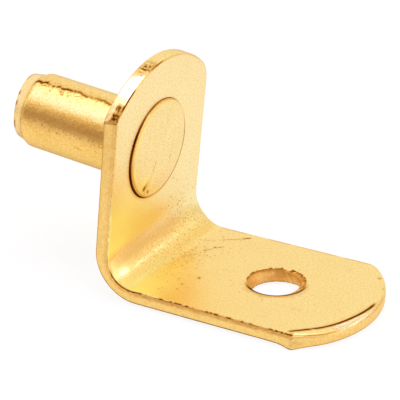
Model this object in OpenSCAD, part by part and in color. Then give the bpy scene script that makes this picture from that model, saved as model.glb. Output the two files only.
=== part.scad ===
// Shelf support pin: a solid peg headed into a bracket that is folded from one strip.
// The peg's axis is the X axis and the bracket's wall face is the plane x = 0. The peg
// points to -X, into the cabinet side, the shelf leg reaches out to +X, and +Z is up.
// The strip reaches further to +Y than to -Y of the peg. Sizes are in millimetres.

/* [Strip] */
// Width of the strip that the bracket is folded from
strip_w = 14; // [10:0.1:17]
// Thickness of the strip
strip_t = 1.2; // [0.95:0.05:1.8]
// Radius of the round crop across both ends of the strip
crop_r = 9.4; // [8.6:0.1:14]

/* [Fold] */
// Angle that the strip is turned through, a little past square to grip the shelf
fold_deg = 95.5; // [85:0.5:100]
// Radius on the inside of the fold
fold_r = 2.5; // [1.5:0.1:4]
// How far the metal squeezed out by folding stands out of each edge of the strip
swell = 0.45; // [0.1:0.05:0.8]

/* [Legs] */
// Height of the wall leg's tip above the peg's axis
rise = 7.7; // [6:0.1:12]
// Depth below the peg's axis at which the fold begins
drop = 7; // [5.5:0.1:12]
// Flat length of the shelf leg, from the fold to its tip
reach = 17.7; // [15:0.1:30]
// How far the peg sits off the middle of the strip
peg_off = 0.5; // [0:0.1:1.5]

/* [Screw hole] */
// Diameter of the hole for the screw that holds the shelf down
screw_d = 4.7; // [3:0.1:6]
// Distance from the shelf leg's tip back to the middle of the screw hole
screw_back = 8.8; // [6:0.1:11]
// How far the screw hole sits off the middle of the strip, away from the peg
screw_off = 0.3; // [0:0.1:1]

/* [Peg] */
// Diameter of the peg
peg_d = 6.35; // [5:0.05:7.5]
// Length of the peg from the wall face to its end
peg_l = 11.5; // [8:0.1:20]
// Length of the reduced nose at the end of the peg
nose_l = 1.35; // [1:0.05:3]
// Diameter of the nose where it leaves the peg
nose_root_d = 6; // [5.6:0.1:6.2]
// Diameter of the nose at its end
nose_tip_d = 5.5; // [3.5:0.1:6]
// Rounding on the end of the nose
nose_edge_r = 0.25; // [0.1:0.05:0.5]

/* [Head] */
// Diameter of the disc that the peg is headed to
head_d = 8.3; // [7.8:0.1:9.5]
// Thickness of the head
head_t = 0.95; // [0.7:0.05:1.1]
// How far the head stands proud of the wall leg's front face
head_proud = 0.2; // [0.05:0.01:0.4]
// Rounding on the rim of the head
head_edge_r = 0.12; // [0.05:0.01:0.3]
// How far the peg is swelled out of its side where it fills the hole in the wall leg
grip = 0.2; // [0.2:0.05:0.4]
// Gap all round between the pressed-in peg and its stepped hole
press_gap = 0.02; // [0.01:0.01:0.05]

/* [Hidden] */
$fn = 96;
// Room by which a cutter runs past the metal
over = 1;
// Diameter of the peg within the wall leg, behind its head
grip_d = peg_d + 2 * grip;
// The head's seat is this deep in the wall leg
seat_depth = head_t - head_proud;
// The fold turns about this point of the side view
fold_x = strip_t + fold_r;
fold_z = -drop;
// The swelling is drawn with this many steps along the fold and through the strip
swell_steps = 14;
swell_layers = 3;
// The swelling is rooted this deep in the strip's edge
swell_root = 0.05;
// The swelling keeps this far inside the strip's two faces
swell_inset = 0.01;

// Puts a drawing at the fold's centre, on the middle of the strip.
module at_fold_centre() {
    translate([fold_x, peg_off, fold_z]) children();
}

// Turns a drawing of the strip folded evenly about the plane x = 0 until its left leg stands
// up straight.
module on_end() {
    at_fold_centre() rotate([0, 90 - fold_deg / 2, 0]) children();
}

// Lays a drawing on a leg of the evenly folded strip: +X runs from the fold to the leg's tip
// and +Z from the leg's outer face to its inner one.
module on_right_leg() {
    rotate([0, -fold_deg / 2, 0]) translate([0, 0, -fold_x]) children();
}

// Lays a drawing on the shelf leg.
module on_shelf_leg() {
    on_end() on_right_leg() children();
}

// Lays a drawing on the wall leg.
module on_wall_leg() {
    on_end() mirror([1, 0, 0]) on_right_leg() children();
}

// Point at radius r from the fold's centre, turned by the given angle from the wall leg.
function on_circle(r, turned) = [r * cos(180 + turned), r * sin(180 + turned)];

// Half of the evenly folded strip: from the middle of the fold, on the plane x = 0, out to
// the square end of a leg of the given length.
module half_strip(length) {
    wide = strip_w + 2 * over;
    deep = 2 * (fold_x + over);
    difference() {
        on_right_leg() {
            translate([0, -strip_w / 2, 0]) cube([length, strip_w, strip_t]);
            difference() {
                translate([0, 0, fold_x]) ring();
                translate([0, -wide / 2, -over]) cube([deep, wide, deep]);
            }
        }
        translate([-deep, -wide / 2, -deep / 2]) cube([deep, wide, deep]);
    }
}

// The ring that the strip would roll into.
module ring() {
    rotate([90, 0, 0]) difference() {
        cylinder(r = fold_x, h = strip_w, center = true);
        cylinder(r = fold_r, h = strip_w + 2 * over, center = true);
    }
}

// What the round crop takes off the far end of a leg of the given length.
module crop_waste(length) {
    wide = strip_w + 2 * over;
    translate([length - crop_r, 0, -over]) linear_extrude(strip_t + 2 * over) difference() {
        translate([0, -wide / 2]) square([crop_r + over, wide]);
        circle(crop_r);
    }
}

// Metal that the fold squeezes out of one edge of the strip, most at the inside of the fold's
// middle and fading to nothing at its ends and at the outside. Drawn on the fold's centre.
module swelling() {
    rows = swell_layers + 1;
    outer = [for (i = [0 : swell_steps], j = [0 : swell_layers]) swell_point(i, j, true)];
    inner = [for (i = [0 : swell_steps], j = [0 : swell_layers]) swell_point(i, j, false)];
    count = len(outer);
    last = swell_steps * rows;
    function quad(a, b, c, d) = [[a, b, c], [a, c, d]];
    grid = [for (i = [0 : swell_steps - 1], j = [0 : swell_layers - 1]) let (a = i * rows + j)
        each concat(quad(a, a + 1, a + rows + 1, a + rows),
                    quad(count + a, count + a + rows, count + a + rows + 1, count + a + 1))];
    long_sides = [for (i = [0 : swell_steps - 1]) let (a = i * rows, b = a + swell_layers)
        each concat(quad(a, a + rows, count + a + rows, count + a),
                    quad(b, count + b, count + b + rows, b + rows))];
    short_sides = [for (j = [0 : swell_layers - 1])
        each concat(quad(j, count + j, count + j + 1, j + 1),
                    quad(last + j, last + j + 1, count + last + j + 1, count + last + j))];
    polyhedron(concat(outer, inner), concat(grid, long_sides, short_sides));
}

// Point of the swelling's skin, or of its root, at one step of the fold and one layer.
function swell_point(step, layer, skin) =
    let (along = step / swell_steps,
         through = layer / swell_layers,
         r = fold_r + swell_inset + through * (strip_t - 2 * swell_inset),
         p = on_circle(r, along * fold_deg),
         height = (swell + swell_root) * pow(sin(180 * along), 2) * (1 - through))
    [p[0], strip_w / 2 - swell_root + (skin ? height : -swell_root), p[1]];

// The stepped hole of the peg, open to both faces of the wall leg.
module peg_seat() {
    rotate([0, 90, 0]) {
        translate([0, 0, -over]) cylinder(d = grip_d + 2 * press_gap, h = strip_t + 2 * over);
        translate([0, 0, strip_t - seat_depth])
            cylinder(d = head_d + 2 * press_gap, h = seat_depth + over);
    }
}

// The screw hole through the shelf leg.
module screw_hole() {
    translate([reach - screw_back, screw_off, -over]) cylinder(d = screw_d, h = strip_t + 2 * over);
}

// The folded strip with its cropped ends, its two holes and the swellings at its fold.
module bracket() {
    color("gold") {
        difference() {
            on_end() {
                half_strip(reach);
                mirror([1, 0, 0]) half_strip(rise + drop);
            }
            on_wall_leg() crop_waste(rise + drop);
            on_shelf_leg() crop_waste(reach);
            on_shelf_leg() screw_hole();
            peg_seat();
        }
        at_fold_centre() {
            swelling();
            mirror([0, 1, 0]) swelling();
        }
    }
}

// Points of a rounded corner at (x, y) on the outside of a section, going anticlockwise.
function rounded(x, y, r, side, steps = 6) = [
    for (i = [0 : steps]) let (a = 90 * (i / steps + (side < 0 ? -1 : 0)))
        [x - r + r * cos(a), y - side * r + r * sin(a)]
];

// Half section of the peg: x is the radius and y the distance out from the wall face.
module peg_section() {
    shoulder = nose_l - peg_l;
    head_back = strip_t - seat_depth;
    polygon(concat(
        [[0, -peg_l]],
        rounded(nose_tip_d / 2, -peg_l, nose_edge_r, -1),
        [[nose_root_d / 2, shoulder]],
        rounded(peg_d / 2, shoulder, (peg_d - nose_root_d) / 2, -1),
        [[peg_d / 2, 0], [grip_d / 2, 0], [grip_d / 2, head_back], [head_d / 2, head_back]],
        rounded(head_d / 2, head_back + head_t, head_edge_r, 1),
        [[0, head_back + head_t]]
    ));
}

// The peg, with its reduced nose at one end and its head at the other.
module peg() {
    color("goldenrod") rotate([0, 90, 0]) rotate_extrude() peg_section();
}

bracket();
peg();
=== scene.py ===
from math import cos, pi, radians, tan

import bmesh
import bpy
import numpy as np
from mathutils import Matrix, Vector
from mathutils.geometry import delaunay_2d_cdt


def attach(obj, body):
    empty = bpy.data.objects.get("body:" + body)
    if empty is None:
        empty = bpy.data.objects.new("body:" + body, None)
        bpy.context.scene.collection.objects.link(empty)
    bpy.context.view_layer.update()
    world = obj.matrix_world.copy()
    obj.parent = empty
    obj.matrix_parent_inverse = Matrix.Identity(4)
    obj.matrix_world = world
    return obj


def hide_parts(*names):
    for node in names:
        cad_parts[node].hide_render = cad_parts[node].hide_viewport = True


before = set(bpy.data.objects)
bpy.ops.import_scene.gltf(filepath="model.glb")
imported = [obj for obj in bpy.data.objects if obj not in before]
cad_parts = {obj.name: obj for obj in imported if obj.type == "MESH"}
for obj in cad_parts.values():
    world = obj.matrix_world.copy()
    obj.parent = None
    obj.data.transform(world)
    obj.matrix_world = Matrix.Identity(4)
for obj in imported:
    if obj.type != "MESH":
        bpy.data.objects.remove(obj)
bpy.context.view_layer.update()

# ---------------------------------------------------------------------------------------------
# The bracket
# The real one is a strip of steel that is cropped round at both ends, pierced twice and folded
# a little past square. It is then tumbled and plated with bright brass.

MM = 0.001  # sizes are in millimetres until they go into a mesh
strip_w = 14.0
wall_t = 1.2
leg_t = 1.1
# Radius of the crop across both ends, and of the corners where it meets the sides
crop_r = 9.4
near_corner_r = 0.12
far_corner_r = {"top": 2.2, "end": 1.6}
# The fold squeezes metal out of the sides on its inside, draws them in on its outside, and
# leaves its inside higher in the middle than at the sides
fold_angle = radians(95.5)
fold_r = 2.5
fold_swell = 0.27
fold_draw = 0.02
fold_crown = 0.22
# How far in from the sides the swelling and the crown reach, and how far both run into the legs
swell_edge = 1.6
crown_edge = 1.8
fold_lead = 0.8
# From the peg's axis up to the wall leg's tip and down to the fold, and the shelf leg's flat length
rise = 7.7
drop = 7.0
reach = 17.7
# How far the strip's middle is off the peg's axis
strip_y = 0.5
# The screw hole: how far it is back from the leg's tip, then its drift along the leg, its place
# across it and its radius on the way down, after each depth
hole_back = 8.8
hole_drift = [
    (0.0, -0.05, 0.33, 2.36), (0.26, -0.32, 0.30, 2.20), (0.6, 0.0, 0.22, 2.23), (1.1, 0.24, 0.15, 2.27),
]
# The peg's seat in the wall leg, and the bore behind it
seat_r = 4.23
seat_depth = 0.75
grip_r = 3.395
# How far the blade pulled the shelf leg's near corner back and down, and how widely each spreads
corner_pull = 0.66
corner_hang = 0.2
pull_spread = 1.6
hang_spread = 1.4
# How dark the ring round the peg's disc is, with stains and painted shade in the seat's gap, by angle up from
# the near side
ring_angles = [0, 30, 45, 60, 75, 90, 110, 135, 180, 195, 225, 250, 270, 285, 300, 315, 345, 360]
ring_dirt_and_shade = [0.9, 1, 0.8, 0.5, 0.55, 0.35, 0.2, 0.05, 0.1, 0.25, 0.25, 0.3, 0.4, 0.5, 0.65, 0.9, 1, 0.9]

half_w = strip_w / 2
fold_from = rise + drop
fold_run = fold_angle * (fold_r + wall_t / 2)
fold_to = fold_from + fold_run
strip_l = fold_to + reach
hole_s = strip_l - hole_back
crop_s = crop_r - (crop_r**2 - half_w**2) ** 0.5
corners = [(crop_s, -half_w), (strip_l - crop_s, -half_w)]


def smooth(x, low=0.0, high=1.0):
    """0 at low and 1 at high, with a soft step between them."""
    x = np.clip((np.asarray(x, float) - low) / (high - low), 0, 1)
    return x * x * (3 - 2 * x)


def bell(x, middle, width):
    """1 at the middle, fading on both sides of it."""
    return np.exp(-(((np.asarray(x, float) - middle) / width) ** 2))


def wander(x, seed, pitch):
    """Smooth uneven value, about -1 to 1, along a length. Each use has a seed of its own."""
    count = 4096
    values = np.random.default_rng(seed).uniform(-1, 1, count)
    x = np.asarray(x, float) / pitch + 512
    i = np.floor(x).astype(int)
    share = x - i
    share = share * share * (3 - 2 * share)
    return values[i % count] * (1 - share) + values[(i + 1) % count] * share


def strip_thickness(s):
    return wall_t + (leg_t - wall_t) * smooth(s, fold_from, fold_to)


def folded(s, y, depth):
    """Points of the folded strip: s is down it from the wall leg's tip, y across it, depth into it."""
    s, y, depth = np.broadcast_arrays(*(np.asarray(v, float) for v in (s, y, depth)))
    fold_share = np.clip((s - fold_from) / fold_run, 0, 1)
    near_fold = np.clip((s - fold_from + fold_lead) / (fold_run + 2 * fold_lead), 0, 1)
    squeeze = np.sin(pi * near_fold) ** 1.5 * smooth(np.abs(y), half_w - swell_edge, half_w)
    inner = 1 - np.clip(depth / strip_thickness(s), 0, 1)
    y = y + np.sign(y) * squeeze * (fold_swell * inner**1.5 - fold_draw * (1 - inner))
    beside = np.clip((np.abs(y) - half_w + crown_edge) / crown_edge, 0, 1)
    depth = depth + fold_crown * np.sin(pi * near_fold) ** 2 * (beside**2 - 1) * inner
    turned = fold_share * fold_angle
    straight = np.minimum(s - fold_from, 0) + np.maximum(s - fold_to, 0)
    r = fold_r + depth
    x = wall_t + fold_r - r * np.cos(turned) + straight * np.sin(turned)
    z = -drop - r * np.sin(turned) - straight * np.cos(turned)
    return np.stack([x, y + strip_y, z], -1)


def corner_centre(r):
    """How far down the strip a corner's rounding has its centre."""
    return crop_r - ((crop_r - r) ** 2 - (half_w - r) ** 2) ** 0.5


# How far apart the points of a cut edge are, and how many go round the screw hole
edge_step = 0.1
rim_count = 150


def end_curve(end):
    """One round-cropped end with its corners, from the near side to the far side."""
    near_r, far_r = near_corner_r, far_corner_r[end]
    near_turn, far_turn = (np.arctan2(half_w - r, crop_r - corner_centre(r)) for r in (near_r, far_r))
    rows = []
    for r, centre_s, centre_y, low, high in (
        (near_r, corner_centre(near_r), near_r - half_w, -pi / 2, -near_turn),
        (crop_r, crop_r, 0.0, -near_turn, far_turn),
        (far_r, corner_centre(far_r), half_w - far_r, far_turn, pi / 2),
    ):
        turn = np.linspace(low, high, max(4, int(r * (high - low) / edge_step)))[:-1]
        rows.append(np.stack([centre_s - r * np.cos(turn), centre_y + r * np.sin(turn)], -1))
    rows.append([(corner_centre(far_r), half_w)])
    return np.vstack(rows)


def strip_outline():
    """The flat strip's outline, clockwise from the near corner of its top end."""
    top, end = end_curve("top"), end_curve("end")
    end = np.stack([strip_l - end[:, 0], end[:, 1]], -1)[::-1]
    far_s = np.arange(top[-1, 0] + edge_step, end[0, 0] - edge_step / 2, edge_step)
    near_s = np.arange(end[-1, 0] - edge_step, top[0, 0] + edge_step / 2, -edge_step)
    far_side, near_side = [(s, half_w) for s in far_s], [(s, -half_w) for s in near_s]
    return np.vstack([top, far_side, end, near_side])


def circle(s, y, r, count):
    """Points round a hole's edge in the flat strip."""
    turn = np.linspace(0, 2 * pi, count, endpoint=False)
    return np.stack([s + r * np.cos(turn), y + r * np.sin(turn)], -1)


def hole_at(depth):
    """Middle and radius of the screw hole on the way down: the punch tore through at a slant."""
    depths, *rest = np.array(hole_drift).T
    drift, y, r = (np.interp(depth, depths, v) for v in rest)
    return hole_s + drift, y, r


def outward(loop):
    """Unit directions that point away from the metal, along a cut edge."""
    ahead = np.roll(loop, -1, 0) - loop
    back = loop - np.roll(loop, 1, 0)
    along = ahead / np.linalg.norm(ahead, axis=1)[:, None] + back / np.linalg.norm(back, axis=1)[:, None]
    along /= np.linalg.norm(along, axis=1)[:, None]
    return np.stack([-along[:, 1], along[:, 0]], -1)


def edge_distance(s, y, holes):
    """How far in each point is from the sides, the crops, the corners and each hole."""
    s, y = np.asarray(s, float), np.asarray(y, float)
    far_off = 99.0
    side = half_w - np.abs(y)
    crop = np.full(s.shape, far_off)
    corner = np.full(s.shape, far_off)
    for end, up in (("top", s), ("end", strip_l - s)):
        crop = np.minimum(crop, np.where(up < crop_r, crop_r - np.hypot(up - crop_r, y), far_off))
        for r, across in ((near_corner_r, -y), (far_corner_r[end], y)):
            centre = corner_centre(r)
            beside, above = across - (half_w - r), centre - up
            inside = (above > 0) & (np.arctan2(beside, above) > np.arctan2(half_w - r, crop_r - centre))
            corner = np.minimum(corner, np.where(inside, r - np.hypot(beside, above), far_off))
    return np.stack([side, crop, corner] + [np.hypot(s - hs, y - hy) - hr for hs, hy, hr in holes])


def sheet_net(holes, insets, pitch, extra=()):
    """A flat net of triangles over the strip: points, faces, and which points lie on each cut edge."""
    screw_hole, peg_hole = holes
    peg_count = int(2 * pi * peg_hole[2] / edge_step)
    loops = [strip_outline(), circle(*screw_hole, rim_count), circle(*peg_hole, peg_count)]
    points, edges = [], []
    for loop in loops:
        first = len(points)
        points += list(loop)
        edges += [(first + i, first + (i + 1) % len(loop)) for i in range(len(loop))]
    for by in insets:
        for loop in loops:
            row = loop - by * outward(loop)
            keep = edge_distance(row[:, 0], row[:, 1], holes).min(0) > by * 0.93
            points += list(row[keep][:: 1 if by < 0.3 else 2])
    before_fold, past_fold = fold_from - 1, fold_to + 1
    zones = ((pitch, 0, before_fold), (pitch * 0.6, before_fold, past_fold), (pitch, past_fold, strip_l))
    for gap, low, high in zones:
        for i, s in enumerate(np.arange(low, high, gap)):
            y = np.arange((i % 2) * gap / 2 - half_w, half_w, gap)
            keep = edge_distance(np.full(len(y), s), y, holes).min(0) > insets[-1] + gap * 0.6
            points += [np.array((s, v)) for v in y[keep]]
    if len(extra):
        extra = np.asarray(extra)
        keep = edge_distance(extra[:, 0], extra[:, 1], holes).min(0) > 0.05
        points += list(extra[keep])
    verts, _, faces, came_from, _, _ = delaunay_2d_cdt([Vector(p) for p in points], edges, [], 0, 1e-4)
    flat = np.array([tuple(v) for v in verts])
    middle = np.array([flat[list(f)].mean(0) for f in faces])
    keep = edge_distance(middle[:, 0], middle[:, 1], holes).min(0) > 0
    place = {old: new for new, olds in enumerate(came_from) for old in olds}
    rims, first = [], 0
    for loop in loops:
        rims.append([place[first + i] for i in range(len(loop))])
        first += len(loop)
    return flat, [f for f, k in zip(faces, keep) if k], rims


def near_corner(s, y, spread):
    """1 at the near corners of the two cropped ends, and soon less further off."""
    return sum(np.exp(-(((s - at_s) ** 2 + (y - at_y) ** 2) / spread)) for at_s, at_y in corners)


def dragged(s, y):
    """How far the shelf leg's near corner is pulled back and how far it hangs, at each point near it."""
    on_leg = s > fold_to
    pulled = corner_pull * near_corner(s, y, pull_spread) * on_leg
    return pulled, corner_hang * near_corner(s, y, hang_spread) * on_leg


# How wide the shelf leg's cropped end is rolled down, and how steeply, by place across it
roll_width = ([-7.0, -5.5, -3.7, -2.1, -0.3, 1.0, 2.5], [0.5, 0.8, 0.68, 0.6, 0.4, 0.28, 0.15])
roll_slope = ([-7, -5.5, -4, 0, 2], [0.1, 0.17, 0.25, 0.25, 0.1])


def crop_roll(s, y, from_crop):
    """The blade rolled the shelf leg's end down: how deep, the scored line where it starts, a shallow crease
    painted dark as a dark reflection, and how much.
    """
    width = np.interp(y, *roll_width)
    here = (s > fold_to) * (from_crop < 2)
    inside = np.clip(1 - from_crop / width, 0, 1) * here
    fade = smooth(y, 1.2, 0.2)
    scored_shade = bell(from_crop, width, 0.13) * here * fade * smooth(y, -6.8, -6.5)
    scored_shade *= 1.2 * smooth(0.95 + 0.5 * wander(y, 17, 0.5) + 0.25 * wander(y, 18, 0.13), 0.0, 0.6)
    deep = np.interp(y, *roll_slope) * width * np.maximum(inside - 0.08, 0) ** 1.1
    return deep, scored_shade, smooth(inside, 0.05, 0.2) * fade


def round_over(dist, radii):
    """How far a face rounds down beside its cut edges, with a radius for each kind of edge."""
    r = np.reshape(radii, (len(dist), -1))
    inside = np.clip(1 - dist / r, 0, 1)
    return (r * (1 - np.sqrt(1 - 0.9 * inside**2))).max(0)


# Knocks on the inner face: s, y, radius, depth, dirt. Scratches: s and y of both ends, width, depth, dirt
pits = [
    (22.38, -3.95, 0.10, 0.015, 0.7), (22.47, -4.90, 0.08, 0.01, 0.6), (23.04, -2.35, 0.12, 0.02, 0.85),
    (21.63, -3.16, 0.08, 0.01, 0.4), (24.23, 0.0, 0.07, 0.01, 0.25), (25.45, -1.4, 0.08, 0.01, 0.25),
    (13.41, 2.54, 0.09, 0.01, 0.4), (14.52, 3.87, 0.08, 0.01, 0.35), (14.23, 4.32, 0.07, 0.01, 0.3),
    (12.12, 3.33, 0.08, 0.01, 0.35), (11.65, 2.7, 0.08, 0.01, 0.35), (15.5, 5.4, 0.09, 0.01, 0.3),
    (16.3, 5.2, 0.09, 0.01, 0.3), (16.6, 4.5, 0.08, 0.01, 0.3), (35.75, 4.9, 0.14, 0.02, 0.45),
    (36.75, 3.37, 0.10, 0.01, 0.35), (29.4, 3.1, 0.07, 0.01, 0.2), (19.55, 0.6, 0.08, 0.01, 0.3),
]
scratches = [
    (23.25, 6.4, 22.45, 5.65, 0.1, 0.03, 0.75), (22.5, 5.7, 20.9, 4.5, 0.07, 0.02, 0.55),
    (20.8, 4.4, 19.4, 3.65, 0.06, 0.02, 0.4), (21.95, 3.7, 20.8, 2.1, 0.07, 0.02, 0.65),
    (21.5, 3.45, 21.3, 3.1, 0.09, 0.02, 0.8), (20.8, 1.5, 19.7, 0.2, 0.06, 0.02, 0.45),
    (31.9, -3.3, 32.7, -3.2, 0.2, 0.02, 0.2),
]
# Small pits gather above the fold, below it, on the whole shelf leg and in the fold
small_pits = 110
rng = np.random.default_rng(11)
for _ in range(small_pits):
    zone = rng.integers(0, 4)
    s, y = [
        (rng.normal(14.8, 1.3), rng.normal(4.2, 1.6)),
        (rng.normal(21.6, 1.2), rng.normal(3.4, 2.0)),
        (rng.uniform(19, 36), rng.uniform(-6, 6)),
        (rng.normal(18.2, 1.2), rng.normal(1.0, 3.4)),
    ][zone]
    pits.append((s, y, rng.uniform(0.045, 0.08), rng.uniform(0.005, 0.012), rng.uniform(0.15, 0.4)))

# The middle of the highlight streak painted along the fold
fold_highlight_s = 17.3


def mark_points():
    """Extra points for the net where the streak, the roll, the knocks and the scratches are."""
    across = np.arange(-6.8, 6.5, 0.1)
    out = [(fold_highlight_s + 0.06 * i, y + 0.03 * (i % 2)) for y in across for i in range(-6, 7)]
    beside_score = np.array((-0.13, -0.08, -0.04, 0, 0.04, 0.08, 0.13, 0.2))
    for y in np.arange(-6.95, 2.0, 0.08):
        width = np.interp(y, *roll_width)
        for inset in (*(width + beside_score), width * 0.6, width * 0.4):
            s = strip_l - crop_r + ((crop_r - inset) ** 2 - y**2) ** 0.5
            out.append((s, y + 0.01 * np.sin(40 * inset)))
    for s, y, r, *_ in pits:
        out.append((s, y))
        for share, count in ((0.6, 6), (1.2, 8), (1.9, 9)):
            turn = np.linspace(0, 2 * pi, count, endpoint=False) + share
            out += list(np.stack([s + share * r * np.cos(turn), y + share * r * np.sin(turn)], -1))
    for s0, y0, s1, y1, wide, *_ in scratches:
        start, run = np.array((s0, y0)), np.array((s1 - s0, y1 - y0))
        length = np.linalg.norm(run)
        side = np.array((-run[1], run[0])) / length
        for i, share in enumerate(np.linspace(0, 1, int(length / 0.1))):
            for off in (-2, -1, -0.5, 0, 0.5, 1, 2):
                out.append(start + run * share + side * wide * (off + 0.05 * (i % 2)))
    return out


def beside_line(u, v, u0, v0, u1, v1):
    """Where points are beside a line: how far along, 0 to 1 between its ends, its length, how far off it."""
    run = np.array((u1 - u0, v1 - v0))
    length = np.linalg.norm(run)
    along = ((u - u0) * run[0] + (v - v0) * run[1]) / length**2
    nearest = np.clip(along, 0, 1)
    return along, length, np.hypot(u - u0 - nearest * run[0], v - v0 - nearest * run[1])


def marks(s, y):
    """Depth and dirt of the knocks and scratches at each point of the inner face."""
    deep_sum, dirt_max = np.zeros(len(s)), np.zeros(len(s))
    for pit_s, pit_y, r, deep, dirt_and_shade in pits:
        off = np.hypot(s - pit_s, y - pit_y) / r
        near = off < 3
        mark = np.exp(-(off[near] ** 2))
        deep_sum[near] += deep * (mark - 0.25 * np.exp(-((off[near] - 1.7) ** 2) * 4))
        dirt_max[near] = np.maximum(dirt_max[near], dirt_and_shade * mark)
    for *ends, wide, deep, dirt_and_shade in scratches:
        along, length, off = beside_line(s, y, *ends)
        nearest = np.clip(along, 0, 1)
        broken = 0.55 + 0.45 * wander(along * length, int(ends[0] * 100), 0.35)
        mark = np.exp(-((off / wide) ** 2)) * broken * smooth(nearest * (1 - nearest), 0, 0.05)
        deep_sum += deep * mark
        dirt_max = np.maximum(dirt_max, dirt_and_shade * mark)
    return deep_sum, 1.35 * dirt_max


def torn_rim(angle):
    """How torn the screw hole's rim is: ragged at the far side and to the left, smooth at the near right."""
    return 0.5 + 0.5 * np.tanh(1.6 * np.cos(angle - radians(118)) + 0.7)


def edge_stains_and_shade(s, y, dist, hole_angle, ring_stain_and_shade):
    """Dirt and stains beside the inner face's edges, with painted shade and painted dark reflections there
    and in the fold.
    """
    from_side, from_crop, _, from_hole, from_seat = dist
    on_leg = s > fold_to

    # painted dark reflections along the rims of both sides: on the near side thin on the wall leg, whole
    # round the fold and broken on the shelf leg
    dashes = 0.3 + 0.7 * smooth(0.45 + wander(s, 5, 0.3) + 0.6 * wander(s, 6, 0.11), 0.2, 0.8)
    whole = (s < fold_to + 0.4) * smooth(s, fold_from + 1.6, fold_from + 2.4)
    near_side = bell(from_side, 0.0, 0.08) * (y < 0) * np.maximum(dashes, whole)
    near_side *= 0.12 + 0.88 * smooth(s, fold_from + 1.2, fold_from + 2.2)
    far_side = 0.4 * bell(from_side, 0.1, 0.13) * (y > 0) * on_leg * smooth(0.8 + wander(s, 44, 0.9), 0, 0.9)

    # a painted dark reflection along the crops, fading from the near side, and a dark dent at the shelf leg's
    # near corner
    leg_share = np.interp(y, [-7, -4.8, -4, 1.5, 5], [0.6, 0.5, 0.25, 0.2, 0])
    tip_share = np.maximum(smooth(y, -4.3, -4.9), 0.8 * bell(y, -1.4, 1.1)) + 0.2 * smooth(y, 0.5, -1.5)
    crop_line = bell(from_crop, 0.02, np.where(on_leg, 0.08, 0.05))
    crop_line *= smooth(0.9 + 0.5 * wander(y, 8, 0.4), 0.2, 0.9) * np.where(on_leg, leg_share, tip_share)
    dent = bell(np.hypot(s - corners[1][0], y + half_w), 0, 0.22) * on_leg

    # stains and painted shade in the ring round the peg's disc, dirt in the specks of the screw hole's torn
    # rim, and painted shade on its smooth near side
    seat_ring = 1.1 * bell(from_seat, 0.0, 0.055) * ring_stain_and_shade
    along_rim = hole_angle * 3
    specks = smooth(0.5 + 0.7 * wander(along_rim, 9, 0.6) + 0.6 * wander(along_rim, 19, 0.11), 0, 1)
    rim_dirt_and_shade = 1.2 * bell(from_hole, 0.0, 0.075) * torn_rim(hole_angle) * specks
    near_rim = 2.2 * bell(from_hole, 0.16, 0.14) * np.maximum(0, -np.sin(hole_angle - radians(20)))
    near_rim *= 1 - 0.8 * bell(np.degrees(hole_angle) % 360, 200, 28)

    # painted shade in the upper part of the fold, fading out toward the near side
    fold_crease_shade = (0.12 * bell(s, 16.3, 0.8) + 0.08 * bell(s, 15.3, 0.4)) * smooth(y, -6.0, -4.0)
    lines = [1.05 * near_side, 0.9 * crop_line, 0.95 * seat_ring, 0.9 * rim_dirt_and_shade]
    return np.maximum.reduce([dent, fold_crease_shade, near_rim, far_side, *lines])


def fold_highlight_streak(s, y):
    """A narrow highlight streak painted along the middle of the fold, widest near its near end."""
    middle = fold_highlight_s + 0.2 * smooth(y, -6, -4.2) + 0.06 * wander(y, 33, 0.5)
    streak = bell(s, middle, 0.2 + 0.1 * smooth(y, -3.5, -6))
    streak *= smooth(0.65 + 0.5 * wander(y, 34, 0.45) + 0.5 * wander(y + 5 * s, 35, 0.18), 0, 1)
    return streak * np.interp(y, [-7, -5, -1, 4, 6], [1, 1, 0.9, 0.75, 0])


def highlights_and_rubbing(s, y, from_hole, hole_angle, rolled):
    """Where the inner face is rubbed smoother and painted whiter as a highlight: a band on the rolled end, a
    band on the hole's near rim, a spot and the streak in the fold.
    """
    rubbed_highlight = rolled * np.interp(y, [-5, -4.4, -3.9, -1.2, 0.2, 1], [0, 0.15, 0.8, 0.8, 0.4, 0])
    rubbed_highlight += 0.6 * bell(from_hole, 0.22, 0.12) * bell(np.degrees(hole_angle), -35, 28)
    rubbed_highlight += 0.7 * bell(s, 17.35, 0.45) * bell(y, -6.05, 0.6)
    return np.maximum(rubbed_highlight, 0.25 * fold_highlight_streak(s, y))


def rippled(s, y):
    """Where the tumbling left the inner face uneven: the fold, and patches above and below it."""
    ripple = 0.75 * bell(s, fold_from + fold_run / 2, 2.4) * smooth(y, -6.2, -3.5)
    ripple += 0.8 * bell(s, 20.8, 1.8) * bell(y, 0.5, 4.4)
    return np.clip(ripple + 0.7 * bell(s, 14.2, 2.4) * bell(y, 4.0, 2.2), 0, 1)


def yellow_beside_fold(s, y, depth):
    """Where the plate is yellower: beside the fold toward the near side, and at the fold's far end."""
    beside_fold = np.interp(s, [9.0, 12, 14.6, 15.3, 18.4, 19.1, 20.8, 23], [0, 1, 1, 0, 0, 1, 1, 0])
    thin = beside_fold * smooth(y, 2.5, -3.5) * (0.45 + 0.35 * smooth(y, -2.5, -5.5))
    thin = np.maximum(thin, 0.8 * bell(s, 16.0, 1.1) * smooth(y, 2.5, 5.5))
    return thin * smooth(depth, 0.2, 0.08)
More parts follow.
